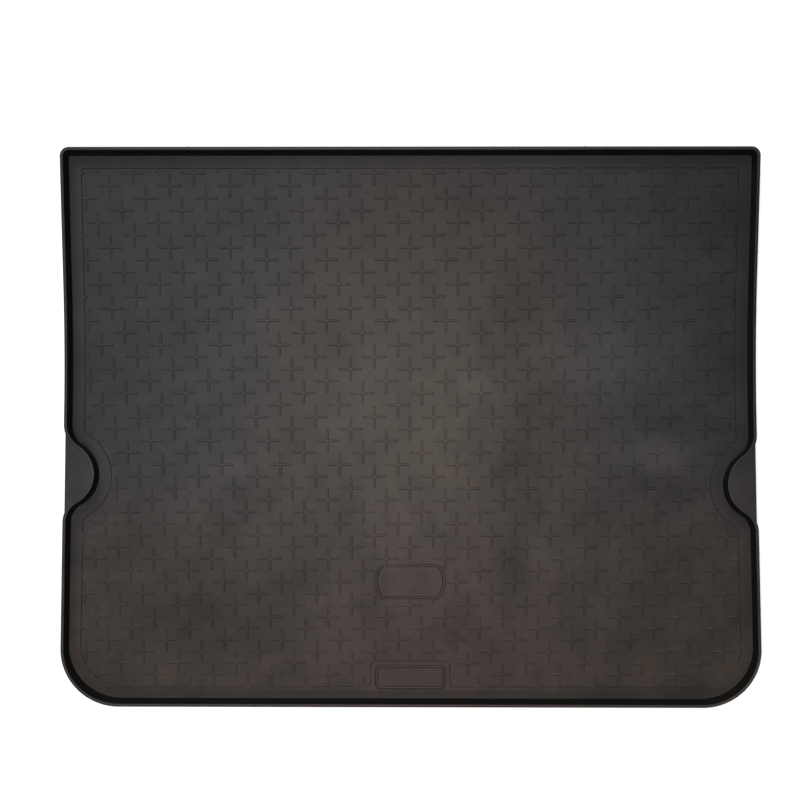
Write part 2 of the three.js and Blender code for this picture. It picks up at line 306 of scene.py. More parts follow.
class RubberLook(bpy.types.PropertyGroup):
    warm: FloatVectorProperty(
        name="Warm tone", description="Colour of dusty rubber where it is brownish",
        default=(0.056, 0.041, 0.031), subtype="COLOR", size=3)
    cool: FloatVectorProperty(
        name="Cool tone", description="Colour of dusty rubber where it is bluish grey",
        default=(0.032, 0.029, 0.032), subtype="COLOR", size=3)
    rosy: FloatVectorProperty(
        name="Rosy tone", description="Colour of dusty rubber near the rear plate",
        default=(0.056, 0.0385, 0.0318), subtype="COLOR", size=3)
    # The bare rubber's own colour, which also serves as the painted shade of the walls, grooves and
    # steps
    clean: FloatVectorProperty(
        name="Clean tone", description="Colour of the rubber itself, without dust",
        default=(0.002, 0.002, 0.002), subtype="COLOR", size=3)
    roughness: FloatProperty(
        name="Roughness", description="Roughness of the moulded surface",
        default=0.5, min=0.0, max=1.0, subtype="FACTOR")
    sheen: FloatProperty(
        name="Gloss", description="Strength of the satin reflection",
        default=0.32, min=0.0, max=1.0, subtype="FACTOR")


class StudioLook(bpy.types.PropertyGroup):
    floor: FloatVectorProperty(
        name="Floor", description="Colour of the studio floor",
        default=(0.86, 0.86, 0.86), subtype="COLOR", size=3)
    key_power: FloatProperty(
        name="Key light", description="Power of the overhead softbox in watts",
        default=32.5, min=0.0)
    side_power: FloatProperty(
        name="Side light", description="Power of the window-like softbox at the front left, in watts",
        default=100.0, min=0.0)
    fill: FloatProperty(
        name="Fill light", description="Strength of the pale surroundings",
        default=0.06, min=0.0)


# Outlines


def splay_axes(side):
    """Unit vectors along a side's splayed part towards the rear, and inwards from it, as if
    the side lay on the right."""
    along = np.array([math.sin(side["splay"]), -math.cos(side["splay"])])
    inwards = np.array([-math.cos(side["splay"]), -math.sin(side["splay"])])
    return along, inwards


def corner(point, radius, steps, joined=False):
    """One corner of an outline. A joined one leaves out the ends of its arc, which are those of
    its neighbours' arcs."""
    return {"point": np.array(point, float), "radius": radius,
            "steps": STEPS[steps], "joined": joined}


def corner_arc(item, before, after):
    """Arc tangent to both sides of a corner: centre + radius * (cos a, sin a) for even angles a.
    The centre lies square to the side that comes in, radius * tan(turn / 2) before the corner."""
    way = (item["point"] - before) / np.linalg.norm(item["point"] - before)
    way_out = (after - item["point"]) / np.linalg.norm(after - item["point"])
    turn = math.atan2(way[0] * way_out[1] - way[1] * way_out[0], way @ way_out)
    start = item["point"] - way * item["radius"] * math.tan(abs(turn) / 2)
    to_centre = np.array([-way[1], way[0]]) * math.copysign(item["radius"], turn)
    first = math.atan2(-to_centre[1], -to_centre[0])
    angles = first + np.linspace(0, turn, item["steps"] + 1)
    arc = start + to_centre + item["radius"] * np.stack([np.cos(angles), np.sin(angles)], 1)
    return arc[1:-1] if item["joined"] else arc


def rounded_outline(corners):
    """Closed outline, counter-clockwise: straight sides joined by the arcs of its corners."""
    points = [item["point"] for item in corners]
    arcs = [corner_arc(item, points[i - 1], points[(i + 1) % len(points)])
            for i, item in enumerate(corners)]
    return np.concatenate(arcs)


def notch_corners(side, start, from_front, nose, fillet, depth):
    """Three corners which, rounded, give a nose of one radius between two tangent fillets.
    The arcs meet at the turn whose cosine is (fillet + nose - depth) / (nose + fillet)."""
    along, inwards = splay_axes(side)
    turn = math.acos((fillet + nose - depth) / (nose + fillet))
    reach = (nose + fillet) * math.sin(turn) - fillet * math.tan(turn / 2)
    peak = depth - nose + nose / math.cos(turn)
    middle = (start[1] - (FRONT_Y - from_front)) / math.cos(side["splay"])
    return [corner(start + along * (middle - reach), fillet, "fillet"),
            corner(start + along * middle + inwards * peak, nose, "nose", joined=True),
            corner(start + along * (middle + reach), fillet, "fillet")]


def side_corners(shape, side, ring):
    """Corners of one side from front to rear, on a line inset from the rim's edge."""
    start = np.array([shape.front_width / 2 - ring["side"], FRONT_Y - SPLAY_FROM_FRONT])
    rear_run = (start[1] - (REAR_Y + ring["side"])) / math.cos(side["splay"])
    end = start + splay_axes(side)[0] * rear_run
    nose = side["radius"] + ring["side"] - shape.rim_width - shape.side_lean + ring["nose_extra"]
    corners = [corner((start[0], FRONT_Y - ring["front"]), ring["front_corner"], "corner"),
               corner(start, SPLAY_BEND_RADIUS, "bend"),
               *notch_corners(side, start, side["from_front"] + ring["back"], nose,
                              ring["notch_fillet"], side["depth"] + ring["nose_extra"]),
               corner(end, REAR_CORNER_RADIUS - ring["side"], "rear")]
    for item in corners:
        item["point"] = item["point"] * (side["sign"], 1) + (FRONT_MIDDLE_X, 0)
    return corners


def ring_at(shape, side, front, back=0.0):
    """Insets of one level of the wall: side and rear by one value, the seat side by another,
    and how far the notches lie behind their place at the rim."""
    foot_inset = shape.rim_width + shape.side_lean
    return {"side": side, "front": front, "front_corner": FRONT_CORNER_RADIUS - (side + front) / 2,
            "notch_fillet": NOTCH_FILLET + foot_inset - side, "nose_extra": 0.0, "back": back}


def tray_outline(shape, ring, rear_corners=()):
    """Outline of the tray at one inset, counter-clockwise from the right rear corner."""
    right = side_corners(shape, RIGHT, ring)[::-1]
    left = side_corners(shape, LEFT, ring)
    return rounded_outline(right + left + list(rear_corners))


def panel_outline(shape):
    """Outline of the sunk panel, which runs round the island of the rear plate."""
    foot = shape.rim_width + shape.side_lean
    inset = foot + shape.panel_margin
    ring = ring_at(shape, inset, inset, NOTCH_RAKE + PANEL_NOTCH_BACK)
    ring["front"] += shape.front_lean - shape.side_lean
    ring["front_corner"] = PANEL_FRONT_CORNER
    ring["nose_extra"] = PANEL_NOTCH_MARGIN_EXTRA
    ring["notch_fillet"] = PANEL_NOTCH_FILLET
    rear_y = REAR_Y + ring["side"]
    top_y = REAR_Y + REAR_PLATE["from_rear"] + REAR_PLATE["height"] + REAR_PLATE_GAP
    half = REAR_PLATE["width"] / 2 + REAR_PLATE_GAP
    middle = FRONT_MIDDLE_X + REAR_PLATE["x"]
    left, right = middle - half, middle + half
    island = [(left, rear_y), (left, top_y), (right, top_y), (right, rear_y)]
    return tray_outline(shape, ring, [corner(p, ISLAND_CORNER, "corner") for p in island])


def rectangle_outline(centre_x, centre_y, width, height, radius):
    """Rectangle with equal rounded corners."""
    half = np.array([width, height]) / 2
    signs = [(-1, -1), (1, -1), (1, 1), (-1, 1)]
    return rounded_outline([corner((centre_x, centre_y) + half * sign, radius, "corner")
                            for sign in np.array(signs)])


def bowed_plate_outline(plate):
    """Plate with straight long sides and ends bowed by an arc of one radius."""
    swing = math.asin(plate["height"] / 2 / plate["end"])
    angles = np.linspace(-swing, swing, STEPS["nose"] + 1)
    arc = plate["end"] * np.stack([np.cos(angles), np.sin(angles)], 1)
    arc[:, 0] += plate["width"] / 2 - plate["end"]
    middle = (FRONT_MIDDLE_X + PLATE_X, REAR_Y + PLATE_FROM_REAR)
    return np.concatenate([arc, -arc]) + middle


def offset(outlines, distance):
    """Closed outlines moved outwards: each point goes by distance / cos(half the bend there)
    along the bisector of its two sides. The last two axes are points and x, y."""
    before = outlines - np.roll(outlines, 1, -2)
    after = np.roll(outlines, -1, -2) - outlines
    before /= np.linalg.norm(before, axis=-1, keepdims=True)
    after /= np.linalg.norm(after, axis=-1, keepdims=True)
    bisector = before + after
    bisector /= np.linalg.norm(bisector, axis=-1, keepdims=True)
    normal = np.stack([bisector[..., 1], -bisector[..., 0]], -1)
    cosine = (bisector * after).sum(-1, keepdims=True)
    return outlines + normal * distance / np.maximum(cosine, LEAST_COSINE)


# Meshes


def arc_profile(centre_out, centre_z, radius, first, last, count):
    """Points of a rounded edge in a section: centre + radius * (cos a, sin a), out and up."""
    angles = np.radians(np.linspace(first, last, count))
    return np.stack([centre_out + radius * np.cos(angles), centre_z + radius * np.sin(angles)], 1)


def turn_outwards(mesh):
    """Winds all faces of closed shells outwards."""
    shells = bmesh.new()
    shells.from_mesh(mesh)
    bmesh.ops.recalc_face_normals(shells, faces=shells.faces)
    shells.to_mesh(mesh)
    shells.free()


class Skin:
    """A mesh put together from rings of points, strips between rings and flat fillings."""

    def __init__(self):
        self.points = []
        self.tones = []
        self.faces = []
        self.flat = []
        self.count = 0

    def ring(self, outline, z, dust_and_light):
        """Adds a level ring with one share of dust and painted light and returns its indices."""
        self.points.append(np.column_stack([outline, np.full(len(outline), z)]))
        self.tones.append(np.full(len(outline), dust_and_light))
        self.count += len(outline)
        return np.arange(self.count - len(outline), self.count)

    def join(self, rings):
        """Joins each ring, or each table with a ring a row, to the next by four-sided faces."""
        for first, second in zip(rings, rings[1:]):
            corners = [first, np.roll(first, -1, -1), np.roll(second, -1, -1), second]
            self.faces += np.stack(corners, -1).reshape(-1, 4).tolist()
            self.flat += [False] * first.size

    def band(self, outline, profile, start=None):
        """Carries a profile of outward offset, height and share of dust and painted light round an
        outline, after a ring that is there already if one is given. Returns the first and the last
        ring."""
        rings = [] if start is None else [start]
        for out, z, dust_and_light in profile:
            rings.append(self.ring(offset(outline, out), z, dust_and_light))
        self.join(rings)
        return rings[0], rings[-1]

    def fill(self, loops, up=True):
        """Closes a flat region between an outer ring and any rings within it."""
        points = np.concatenate(self.points)
        order = np.concatenate(loops)
        vectors = [[Vector(p) for p in points[loop]] for loop in loops]
        triangles = order[np.array(tessellate_polygon(vectors))]
        a, b, c = (points[triangles[:, k], :2] for k in range(3))
        area = (b[:, 0] - a[:, 0]) * (c[:, 1] - a[:, 1]) - (b[:, 1] - a[:, 1]) * (c[:, 0] - a[:, 0])
        wrong = (area > 0) != up
        triangles[wrong] = triangles[wrong, ::-1]
        self.faces += triangles.tolist()
        self.flat += [True] * len(triangles)

    def build(self, name, material):
        """Makes the mesh object, smooth on strips and flat on fillings."""
        mesh = bpy.data.meshes.new(name)
        mesh.from_pydata(np.concatenate(self.points).tolist(), [], self.faces)
        turn_outwards(mesh)
        mesh.set_sharp_from_angle(angle=SHARP_ANGLE)
        mesh.polygons.foreach_set("use_smooth", ~np.array(self.flat))
        dust_and_light = mesh.attributes.new(DUST_AND_LIGHT, "FLOAT", "POINT")
        dust_and_light.data.foreach_set("value", np.concatenate(self.tones))
        mesh.materials.append(material)
        piece = bpy.data.objects.new(name, mesh)
        bpy.context.scene.collection.objects.link(piece)
        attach(piece, BODY)
        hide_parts(NODE)
        return piece


def wall_levels(shape):
    """Section of the wall as rows of side inset, front inset, notch's way back, height and share of
    dust and painted light, from the underside's edge up the outer face, over the rim and down to the
    margin."""

    def face(points, dust_and_light):
        out, z = points.T
        share = 1 - np.clip((z - FLOOR_Z) / (TOP_Z - FLOOR_Z), 0, 1)
        side = shape.rim_width + shape.side_lean * share - out
        front = shape.rim_width + shape.front_lean * share - out
        return np.column_stack([side, front, NOTCH_RAKE * share, z, dust_and_light + 0 * z])

    def level(points, dust_and_light):
        out, z = points.T
        return np.column_stack([-out, -out, 0 * z, z, dust_and_light + 0 * z])

    wall, rim = shape.wall_thickness, shape.rim_width
    rim_z = TOP_Z - RIM_HEIGHT
    bottom = arc_profile(wall - UNDERSIDE_ROUND, UNDERSIDE_ROUND, UNDERSIDE_ROUND, -90, 0, 5)
    below = np.array([[wall, rim_z - 2 * RIM_UNDER_ROUND],
                      [wall + RIM_UNDER_FLARE, rim_z - RIM_UNDER_ROUND / 2]])
    under = arc_profile(-RIM_UNDER_ROUND, rim_z + RIM_UNDER_ROUND, RIM_UNDER_ROUND, -80, 0, 4)
    outer = arc_profile(-RIM_OUTER_ROUND, TOP_Z - RIM_OUTER_ROUND, RIM_OUTER_ROUND, 0, 90,
                        len(RIM_OUTER_DUST_AND_LIGHT))
    inner = arc_profile(RIM_INNER_ROUND - rim, TOP_Z - RIM_INNER_ROUND, RIM_INNER_ROUND, 90, 170,
                        len(RIM_INNER_DUST_AND_LIGHT))
    foot = arc_profile(-WALL_FOOT_ROUND, FLOOR_Z + WALL_FOOT_ROUND, WALL_FOOT_ROUND, 0, -90, 5)
    # The wall's faces are painted dark as shade, the foot's rounding grades from that towards the
    # margin's painted shade, and the rim's top is painted lighter as a highlight over its dust
    return np.concatenate([
        face(bottom, WALL_SHADE), face(below, WALL_SHADE), level(under, WALL_SHADE),
        level(outer, RIM_OUTER_DUST_AND_LIGHT), level(inner, RIM_INNER_DUST_AND_LIGHT),
        face(foot, np.linspace(WALL_SHADE, FOOT_SHADE, len(foot)))])


def tray_skin(shape):
    """The tray from its underside over the rim to the panel, with both plates."""
    skin = Skin()
    wall = [skin.ring(tray_outline(shape, ring_at(shape, side, front, back)), z, dust_and_light)
            for side, front, back, z, dust_and_light in wall_levels(shape)]
    skin.join(wall)
    underside, margin_edge = wall[0], wall[-1]
    skin.fill([underside], up=False)
    step = step_profile(shape.step_run, FLOOR_Z, FLOOR_Z - shape.panel_sink)
    panel_top, panel_foot = skin.band(panel_outline(shape), step)
    rear_groove = rear_plate(skin)
    # The margin's filling grades from the foot's painted shade to the full share at the panel's edge
    skin.fill([margin_edge, panel_top, rear_groove])
    plate_foot = middle_plate(skin, shape)
    skin.fill([panel_foot, plate_foot])
    return skin


def step_profile(run, high, low):
    """Slope with softened edges between two levels, as offsets from its middle, heights and shares of
    dust and painted light: the slope's middle gets painted shade."""
    across, down, clean = np.array([[0.5, 0, 0], [0.38, 0.05, 0], [0.28, 0.16, 1],
                                    [-0.28, 0.84, 1], [-0.38, 0.95, 0.5], [-0.5, 1, 0]]).T
    return np.column_stack([across * run, high + (low - high) * down, 1 - (1 - STEP_SHADE) * clean])


def groove_profile(start, high, low):
    """Narrow groove that runs inwards from a start, with softened edges: between two levels
    it sinks to the groove's own depth below the higher one."""
    across, down, past = np.array([[0, 0, 0], [-0.1, 0.12, 0], [-0.35, 1, 0],
                                   [-0.65, 1, 0], [-0.9, 0.12, 1], [-1, 0, 1]]).T
    z = high - (high - low) * past - GROOVE_DEPTH * down
    # The groove's bottom is painted darker as shade
    return np.column_stack([start + across * GROOVE_WIDTH, z, 1 - (1 - GROOVE_SHADE) * down])


def middle_plate(skin, shape):
    """Raised frame of the middle plate, a groove and the bare field. Returns the frame's foot."""
    panel_z = FLOOR_Z - shape.panel_sink
    rise = step_profile(PLATE_STEP_RUN, panel_z, FLOOR_Z)
    foot, top = skin.band(bowed_plate_outline(PLATE), rise)
    inner = groove_profile(GROOVE_WIDTH / 2, FLOOR_Z, panel_z + PLATE_FIELD_RISE)
    groove = bowed_plate_outline({"width": PLATE["width"] - 2 * PLATE_FRAME_ENDS,
                                  "height": PLATE["height"] - 2 * PLATE_FRAME_SIDES,
                                  "end": PLATE["end"] - PLATE_FRAME_SIDES})
    _, field = skin.band(groove, inner, top)
    skin.fill([field])
    return foot


def rear_plate(skin):
    """Groove, band, second groove and bare field of the rear plate. Returns the outer edge."""
    centre_y = REAR_Y + REAR_PLATE["from_rear"] + REAR_PLATE["height"] / 2
    outline = rectangle_outline(FRONT_MIDDLE_X + REAR_PLATE["x"], centre_y, REAR_PLATE["width"],
                                REAR_PLATE["height"], REAR_PLATE_CORNER)
    outer = groove_profile(0, FLOOR_Z, FLOOR_Z)
    edge, band = skin.band(outline, outer)
    inner = groove_profile(-GROOVE_WIDTH - REAR_PLATE_BAND, FLOOR_Z, FLOOR_Z - REAR_PLATE_SINK)
    _, field = skin.band(outline, inner, band)
    skin.fill([field])
    return edge


def inside(points, outline):
    """Whether points lie within a closed outline, by counting the sides to their right."""
    a, b = outline, np.roll(outline, -1, 0)
    x, y = points[:, None, 0], points[:, None, 1]
    spans = (a[:, 1] > y) != (b[:, 1] > y)
    rise = np.where(b[:, 1] == a[:, 1], 1.0, b[:, 1] - a[:, 1])
    right = x < (b[:, 0] - a[:, 0]) * (y - a[:, 1]) / rise + a[:, 0]
    return (spans & right).sum(1) % 2 == 1


def first_crossing(starts, ways, outline):
    """How far along each way, in shares of it, the first side of the outline is met."""
    a, side = outline, np.roll(outline, -1, 0) - outline
    gap = a[None] - starts[:, None]
    cross = ways[:, None, 0] * side[None, :, 1] - ways[:, None, 1] * side[None, :, 0]
    cross = np.where(np.abs(cross) < LEAST_CROSSING, LEAST_CROSSING, cross)
    along = (gap[..., 0] * side[None, :, 1] - gap[..., 1] * side[None, :, 0]) / cross
    across = (gap[..., 0] * ways[:, None, 1] - gap[..., 1] * ways[:, None, 0]) / cross
    hit = (along >= 0) & (along <= 1) & (across >= 0) & (across <= 1)
    return np.where(hit, along, np.inf).min(1)


def nearest_edge(starts, way, outlines):
    """How far along one way, in shares of it, each start meets any of the outlines."""
    ways = np.broadcast_to(way, starts.shape)
    return np.min([first_crossing(starts, ways, outline) for outline in outlines], 0)


def lattice(crosses):
    """Centres of the crosses: start + m * (2, 1) + n * (1, -2) arms, for whole m and n."""
    reach = math.ceil((HIGH - LOW).length / crosses.arm_x / 2)
    m, n = np.meshgrid(np.arange(-reach, reach + 1), np.arange(-reach, reach + 1))
    x = FRONT_MIDDLE_X + CROSS_START["x"] + (2 * m + n) * crosses.arm_x
    y = FRONT_Y - CROSS_START["from_front"] + (m - 2 * n) * crosses.arm_y
    return np.stack([x.ravel(), y.ravel()], 1)


def arm_lengths(shape, crosses):
    """Whole crosses with their four arms cut at the panel's edge and the middle plate, and the
    loose arms whose cross is centred outside, as start and end points."""
    panel, plate = panel_outline(shape), bowed_plate_outline(PLATE)
    touched = offset(panel, RIB_TOUCH)
    centres = lattice(crosses)
    near = (np.abs(centres) < np.array(HIGH)[:2] - shape.panel_margin / 2).all(1)
    centres = centres[near]
    ways = np.array([[1, 0], [0, 1], [-1, 0], [0, -1]]) * (crosses.arm_x, crosses.arm_y)
    kept = inside(centres, panel) & ~inside(centres, plate)
    lengths, loose = [], []
    for way in ways:
        tips = centres + way
        full = np.linalg.norm(way)
        tip_in = inside(tips, touched) & ~inside(tips, plate)
        out = nearest_edge(centres, way, (panel, plate))
        lengths.append(np.where(np.isfinite(out), out * full + RIB_BURY, full))
        back = nearest_edge(tips, -way, (touched, plate))
        stub = tip_in & ~kept & np.isfinite(back)
        reach = (back[stub] + RIB_BURY / full)[:, None]
        loose.append(np.stack([tips[stub] - way * reach, tips[stub]], 1))
    lengths = np.minimum(np.stack(lengths, 1), [crosses.arm_x, crosses.arm_y] * 2)
    return centres[kept], lengths[kept], np.concatenate(loose)


def cross_outlines(crosses, centres, lengths):
    """Outlines of all crosses: each arm ends in a half circle of half the rib's width, and the
    corners between arms are cut. Arm k is the first arm's outline turned by k quarters."""
    half = crosses.foot_width / 2
    root = half + crosses.corner_cut
    cap = half * np.stack([np.cos(RIB_END_ANGLES) - 1, np.sin(RIB_END_ANGLES)], 1)
    reach = np.maximum(lengths, root + RIB_SHORTEST_ARM * half)
    arms = []
    for k in range(4):
        along = np.array([math.cos(k * math.pi / 2), math.sin(k * math.pi / 2)])
        square = np.array([-along[1], along[0]])
        outs = np.concatenate([np.full((len(centres), 1), root), reach[:, k:k + 1] + cap[:, 0],
                               np.full((len(centres), 1), root)], 1)
        sides = np.concatenate([[-half], cap[:, 1], [half]])
        arms.append(outs[..., None] * along + sides[:, None] * square)
    return np.concatenate(arms, 1) + centres[:, None]


def bar_outlines(crosses, ends):
    """Outlines of loose arms: a half circle round each end of a straight rib."""
    half = crosses.foot_width / 2
    way = ends[:, 1] - ends[:, 0]
    way /= np.linalg.norm(way, axis=1, keepdims=True)
    square = np.stack([-way[:, 1], way[:, 0]], 1)
    angles = RIB_END_ANGLES[:, None]
    cap = np.cos(angles) * way[:, None] + np.sin(angles) * square[:, None]
    tip = ends[:, 1] - way * half
    return np.concatenate([tip[:, None] + half * cap, ends[:, 0][:, None] - half * cap], 1)


def add_ribs(skin, outlines, shape):
    """Raises ribs on outlines of their feet: a slope, a softened edge and a level top."""
    high = FLOOR_Z - RIB_TOP_GAP
    foot = FLOOR_Z - shape.panel_sink - RIB_FOOT_GAP
    # The ribs' feet are painted darker as shade
    levels = [(0.0, foot, RIB_FOOT_SHADE),
              (-RIB_EDGE_RUN * shape.step_run, high - RIB_EDGE_DROP, 1.0),
              (-shape.step_run, high, 1.0)]
    number, width = outlines.shape[:2]
    rings = []
    for out, z, dust_and_light in levels:
        ring = skin.ring(offset(outlines, out).reshape(-1, 2), z, dust_and_light)
        rings.append(ring.reshape(number, width))
    skin.join(rings)
    skin.faces += rings[0][:, ::-1].tolist() + rings[-1].tolist()
    skin.flat += [True] * (2 * number)


def flap_outline(shape, side):
    """Crescent of one flap: the middle line of the rim along the notch, closed by a straight
    edge that runs level with the side, inset from the rim's line."""
    middle = tray_outline(shape, ring_at(shape, shape.rim_width / 2, shape.rim_width / 2))
    along, inwards = splay_axes(side)
    start = np.array([shape.front_width / 2, FRONT_Y - SPLAY_FROM_FRONT])
    as_right = (middle - (FRONT_MIDDLE_X, 0)) * (side["sign"], 1) - start
    depth, run = as_right @ inwards, as_right @ along
    centre = (start[1] - (FRONT_Y - side["from_front"])) / math.cos(side["splay"])
    near = np.abs(run - centre) < side["radius"] + NOTCH_FILLET
    chosen = near & (depth > FLAP_INSET) & (depth < 2 * side["depth"])
    order = np.argsort(run[chosen])
    run, depth = run[chosen][order], depth[chosen][order]
    run = np.concatenate([[run[0] - FLAP_TAIL], run, [run[-1] + FLAP_TAIL]])
    depth = np.concatenate([[FLAP_INSET], depth, [FLAP_INSET]])
    outline = start + run[:, None] * along + depth[:, None] * inwards
    outline = outline * (side["sign"], 1) + (FRONT_MIDDLE_X, 0)
    return outline[::side["sign"]]


def nib_outline(shape, side, from_front):
    """Small triangle of flash on the outer edge of the rim, pointing outwards from a side."""
    y = FRONT_Y - from_front
    drop = max(0.0, from_front - SPLAY_FROM_FRONT)
    x = side["sign"] * (shape.front_width / 2 + drop * math.tan(side["splay"])) + FRONT_MIDDLE_X
    root = x - side["sign"] * NIB_SIZE
    tip = x + side["sign"] * NIB_SIZE
    points = np.array([(root, y - NIB_SIZE), (tip, y), (root, y + NIB_SIZE)])
    return points[::side["sign"]]


def front_nib_outline(x):
    """Small triangle of flash that points outwards from the seat-side edge."""
    x = x + FRONT_MIDDLE_X
    root = FRONT_Y - NIB_SIZE
    return np.array([(x - NIB_SIZE, root), (x + NIB_SIZE, root), (x, FRONT_Y + NIB_SIZE)])


# Materials


class Value:
    """A node's output, so that shader maths on numbers is written as an expression."""

    def __init__(self, graph, socket):
        self.graph = graph
        self.socket = socket

    def maths(self, operation, *inputs):
        return self.graph.add("ShaderNodeMath", {"operation": operation}, inputs)

    def __add__(self, other):
        return self.maths("ADD", self, other)

    def __radd__(self, other):
        return self.maths("ADD", other, self)

    def __sub__(self, other):
        return self.maths("SUBTRACT", self, other)

    def __rsub__(self, other):
        return self.maths("SUBTRACT", other, self)

    def __mul__(self, other):
        return self.maths("MULTIPLY", self, other)

    def __rmul__(self, other):
        return self.maths("MULTIPLY", other, self)


class Graph:
    """The node tree of one material or world."""

    def __init__(self, owner):
        owner.use_nodes = True
        self.tree = owner.node_tree
        self.tree.nodes.clear()

    def add(self, kind, settings=None, inputs=(), output=0):
        """Adds a node, sets its settings first and then its sockets, and returns one output."""
        node = self.tree.nodes.new(kind)
        for key, value in (settings or {}).items():
            setattr(node, key, value)
        pairs = inputs.items() if isinstance(inputs, dict) else enumerate(inputs)
        for key, value in pairs:
            if isinstance(value, Value):
                self.tree.links.new(value.socket, node.inputs[key])
            else:
                node.inputs[key].default_value = value
        return Value(self, node.outputs[output]) if node.outputs else node

    def noise(self, place, scale, detail, roughness, output="Fac"):
        """Noise between 0 and 1, as a number or as a colour."""
        return self.add("ShaderNodeTexNoise", {"normalize": True},
                        {"Vector": place, "Scale": scale, "Detail": detail,
                         "Roughness": roughness}, output)

    def mix(self, share, first, second, clamped=True):
        """Mixes two colours. Sockets 0, 6 and 7 and output 2 are those that colours use."""
        settings = {"data_type": "RGBA", "clamp_factor": clamped}
        return self.add("ShaderNodeMix", settings, {0: share, 6: first, 7: second}, 2)


def patch(graph, place, middle, half):
    """Soft elliptical patch: 1 in its middle and 0 from its edge on."""
    away = graph.add("ShaderNodeVectorMath", {"operation": "SUBTRACT"}, (place, (*middle, 0)))
    share = graph.add("ShaderNodeVectorMath", {"operation": "MULTIPLY"},
                      (away, (1 / half[0], 1 / half[1], 0)))
    length = graph.add("ShaderNodeVectorMath", {"operation": "LENGTH"}, (share,), "Value")
    return graph.add("ShaderNodeMapRange", {"interpolation_type": "SMOOTHSTEP"},
                     {"Value": length, "To Min": 1.0, "To Max": 0.0})


def rearness(graph, place):
    """0 in the front part of the liner and 1 in its rear part."""
    y = graph.add("ShaderNodeSeparateXYZ", None, (place,), "Y")
    return graph.add("ShaderNodeMapRange", {"interpolation_type": "SMOOTHSTEP"},
                     {"Value": y, "From Min": REAR_FADE_Y[0], "From Max": REAR_FADE_Y[1]})


def stretched_noise(graph, place, slant):
    """Noise stretched along one direction, given by its angle to the X axis."""
    turned = graph.add("ShaderNodeMapping", {"vector_type": "TEXTURE"},
                       {"Vector": place, "Rotation": (0, 0, slant), "Scale": (1, STREAK_SQUEEZE, 1)})
    return graph.noise(turned, *STREAK_NOISE)


def streaks(graph, place):
    """Streaky noise that runs upright in the middle of the liner and slants at its sides."""
    slanted = stretched_noise(graph, place, STREAK_SLANT)
    upright = stretched_noise(graph, place, math.pi / 2)
    return slanted + patch(graph, place, *STREAK_MIDDLE) * (upright - slanted)


def rubber_material(look):
    """Dark satin rubber: thin dust that lies on level parts, in warm and cool patches and cloudy
    smears, with painted shade on walls, grooves, steps and the ribs' feet, a painted highlight on the
    rim, painted light in some smears, and a fine moulded grain."""
    material = bpy.data.materials.new(RUBBER)
    graph = Graph(material)
    place = graph.add("ShaderNodeTexCoord", output="Object")
    drift = graph.noise(place, *DRIFT_NOISE, output="Color")
    drift = graph.add("ShaderNodeVectorMath", {"operation": "SUBTRACT"}, (drift, (0.5, 0.5, 0.5)))
    drift = graph.add("ShaderNodeVectorMath", {"operation": "SCALE"}, {0: drift, "Scale": DRIFT})
    drifted = graph.add("ShaderNodeVectorMath", None, (place, drift))
    warmth, light = 0.0, 1.0
    for middle, half, amount in WARM_PATCHES:
        warmth = warmth + amount * patch(graph, drifted, middle, half)
    # Some smears are painted light: a sheen over the middle and shade towards the right and seat
    # sides
    for middle, half, amount in SMEARS_AND_PAINTED_LIGHT:
        light = light + amount * patch(graph, drifted, middle, half)
    clouds = graph.noise(drifted, *CLOUD_NOISE)
    marks = graph.noise(place, *MARK_NOISE)
    grain = graph.noise(place, *GRAIN_NOISE)
    # Fixed marks, with a painted highlight on the notches' lips, and a strip of painted light along
    # the seat side
    for middle, half, amount in (*MARKS, FRONT_PAINTED_LIGHT):
        light = light + amount * patch(graph, place, middle, half)
    rear = rearness(graph, place)
    light = light + CLOUD_STRENGTH * (clouds - 0.5)
    light = light + (MARK_STRENGTH + MARK_GAIN * rear) * (marks - 0.5)
    light = light + (STREAK_STRENGTH + STREAK_GAIN * rear) * (streaks(graph, drifted) - 0.5)
    warmth = warmth + WARMTH_STRENGTH * (clouds - 0.5) + WARMTH_STRENGTH * (marks - 0.5)
    warmth = graph.add("ShaderNodeClamp", None, (warmth,))
    dust_and_light = graph.add("ShaderNodeAttribute", {"attribute_name": DUST_AND_LIGHT}, output="Fac")
    warm = graph.mix(patch(graph, drifted, *ROSY_PATCH), (*look.warm, 1), (*look.rosy, 1))
    tint = graph.mix(warmth, (*look.cool, 1), warm)
    level = graph.add("ShaderNodeCombineColor", None, (light, light, light))
    tint = graph.add("ShaderNodeMix", {"data_type": "RGBA", "blend_type": "MULTIPLY"},
                     {0: 1.0, 6: tint, 7: level}, 2)
    # Bare rubber and dusty tint mixed by the share of dust and painted light: low shares paint shade
    # on walls, grooves and steps, and shares above 1 paint the rim's highlight
    colour = graph.mix(dust_and_light, (*look.clean, 1), tint, clamped=False)
    rough = look.roughness + BARE_AND_SHADE_ROUGHNESS * (1 - dust_and_light) + SMEAR_ROUGHNESS * (1 - light)
    bump = graph.add("ShaderNodeBump", None,
                     {"Strength": GRAIN_STRENGTH, "Distance": GRAIN_HEIGHT, "Height": grain},
                     "Normal")
    shader = graph.add("ShaderNodeBsdfPrincipled", None,
                       {"Base Color": colour, "Roughness": rough, "Normal": bump,
                        "Specular IOR Level": look.sheen})
    graph.add("ShaderNodeOutputMaterial", None, {"Surface": shader})
    return material


